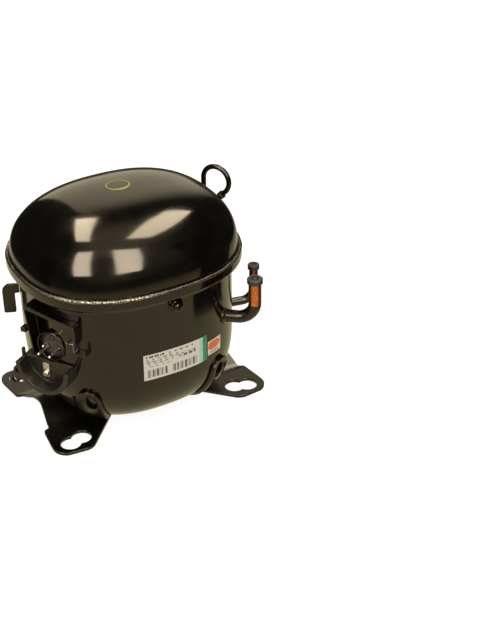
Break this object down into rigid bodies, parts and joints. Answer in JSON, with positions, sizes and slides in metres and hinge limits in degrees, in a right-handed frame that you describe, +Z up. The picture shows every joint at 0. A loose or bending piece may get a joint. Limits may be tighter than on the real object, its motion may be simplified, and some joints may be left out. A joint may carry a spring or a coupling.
{
  "type": "hermetic reciprocating compressor",
  "caption": "Oval welded refrigeration compressor on slotted stamped feet, with capped stub tubes, an open terminal bay, and a sprung motor with a crank-driven piston inside.",
  "frame": {"origin": "centre of the base's slot pattern, on the plane of the feet's undersides", "axes": "+X towards the end with the suction and discharge tubes, -Y out of the side with the accessory screw, +Z up"},
  "size_m": [0.2416, 0.189, 0.2042],
  "materials": {
    "black_paint": "gloss",
    "painted_weld": "satin",
    "steel": "satin",
    "zinc": "satin",
    "copper": "satin",
    "grey_rubber": "matte",
    "black_plastic": "satin",
    "glass_seal": "gloss",
    "cast_iron": "matte",
    "lamination": "satin",
    "winding": "gloss",
    "aluminium": "satin",
    "natural_plastic": "satin",
    "spring_steel": "satin"
  },
  "bodies": {
    "housing": {"bottom_shell": "black_paint", "top_shell": "black_paint", "seam_weld": "painted_weld", "right_base_bracket": "black_paint", "left_base_bracket": "black_paint", "terminal_fence": "black_paint", "terminal_cup": "black_paint", "terminal_seal": "glass_seal", "terminal_pin_1": "steel", "terminal_pin_2": "steel", "terminal_pin_3": "steel", "terminal_cradle": "black_plastic", "cover_clip": "steel", "cover_lug": "black_paint", "earth_tab": "zinc", "earth_screw": "zinc", "suction_tube": "copper", "discharge_tube": "copper", "process_tube": "black_paint", "accessory_boss": "black_paint", "accessory_screw": "steel", "motor_connector": "natural_plastic", "spring_stud_1": "steel", "spring_stud_2": "steel", "spring_stud_3": "steel", "spring_stud_4": "steel", "suspension_spring_1": "spring_steel", "suspension_spring_2": "spring_steel", "suspension_spring_3": "spring_steel", "suspension_spring_4": "spring_steel", "discharge_loop": "copper"},
    "pump_unit": {"stator_core": "lamination", "winding_top": "winding", "winding_bottom": "winding", "stator_bolt_1": "steel", "stator_bolt_2": "steel", "stator_bolt_3": "steel", "stator_bolt_4": "steel", "cylinder_block": "cast_iron", "valve_plate": "steel", "cylinder_head": "aluminium", "head_bolt_1": "steel", "head_bolt_2": "steel", "head_bolt_3": "steel", "head_bolt_4": "steel", "suction_muffler": "natural_plastic", "discharge_muffler": "steel"},
    "crank": {"crankshaft": "steel", "rotor": "aluminium", "oil_pickup": "steel"},
    "gallery_plug": {"oil_gallery_plug": "zinc"},
    "piston": {"piston": "cast_iron"},
    "retainer": {"ball_retainer": "steel"},
    "ball": {"rod_ball": "steel"},
    "rod": {"connecting_rod": "cast_iron"},
    "suction_valve": {"suction_reed": "spring_steel"},
    "discharge_valve": {"discharge_reed": "spring_steel"},
    "suction_cap": {"suction_plug": "grey_rubber"},
    "discharge_cap": {"discharge_plug": "grey_rubber"},
    "process_cap": {"process_plug": "grey_rubber"}
  },
  "joints": [
    {"name": "suspension_travel", "type": "slide", "parent": "housing", "child": "pump_unit", "axis": [0, 0, 1], "range_m": [-0.003, 0.003], "stiffness_N_per_m": 24000, "springref_m": 0.00223, "deforming": ["suspension_spring_1", "suspension_spring_2", "suspension_spring_3", "suspension_spring_4", "discharge_loop"]},
    {"name": "crank_spin", "type": "hinge", "parent": "pump_unit", "child": "crank", "pos_m": [-0.004, 0, 0.144], "axis": [0, 0, 1], "continuous": true},
    {"name": "gallery_carry", "type": "hinge", "parent": "crank", "child": "gallery_plug", "pos_m": [0, 0, 0.144], "axis": [0, 0, 1], "continuous": true},
    {"name": "piston_carry", "type": "hinge", "parent": "gallery_plug", "child": "piston", "pos_m": [0.004, 0, 0.144], "axis": [0, 0, 1], "continuous": true},
    {"name": "retainer_turn", "type": "hinge", "parent": "piston", "child": "retainer", "pos_m": [0.052, 0, 0.144], "axis": [1, 0, 0], "continuous": true},
    {"name": "ball_turn", "type": "hinge", "parent": "retainer", "child": "ball", "pos_m": [0.052, 0, 0.144], "axis": [0.9965, 0, 0.0836], "continuous": true},
    {"name": "rod_swing", "type": "hinge", "parent": "ball", "child": "rod", "pos_m": [0.052, 0, 0.144], "axis": [1, 0, 0], "continuous": true},
    {"name": "suction_valve_lift", "type": "hinge", "parent": "pump_unit", "child": "suction_valve", "pos_m": [0.06565, 0.0055, 0.1525], "axis": [0, 1, 0], "range_deg": [0, 4], "stiffness_Nm_per_rad": 0.05},
    {"name": "discharge_valve_lift", "type": "hinge", "parent": "pump_unit", "child": "discharge_valve", "pos_m": [0.06955, -0.0055, 0.1525], "axis": [0, -1, 0], "range_deg": [0, 4], "stiffness_Nm_per_rad": 0.05},
    {"name": "suction_cap_pull", "type": "slide", "parent": "housing", "child": "suction_cap", "axis": [0, 0, 1], "range_m": [0, 0.02]},
    {"name": "discharge_cap_pull", "type": "slide", "parent": "housing", "child": "discharge_cap", "axis": [0, 0, 1], "range_m": [0, 0.02]},
    {"name": "process_cap_pull", "type": "slide", "parent": "housing", "child": "process_cap", "axis": [-0.349, 0.6045, -0.7161], "range_m": [0, 0.012]}
  ],
  "couplings": [
    {"joint": "gallery_carry", "follows": "crank_spin", "ratio": -2},
    {"joint": "piston_carry", "follows": "crank_spin", "ratio": 1},
    {"joint": "retainer_turn", "follows": "crank_spin", "ratio": 1},
    {"joint": "ball_turn", "follows": "crank_spin", "ratio": -2},
    {"joint": "rod_swing", "follows": "crank_spin", "ratio": 1}
  ]
}
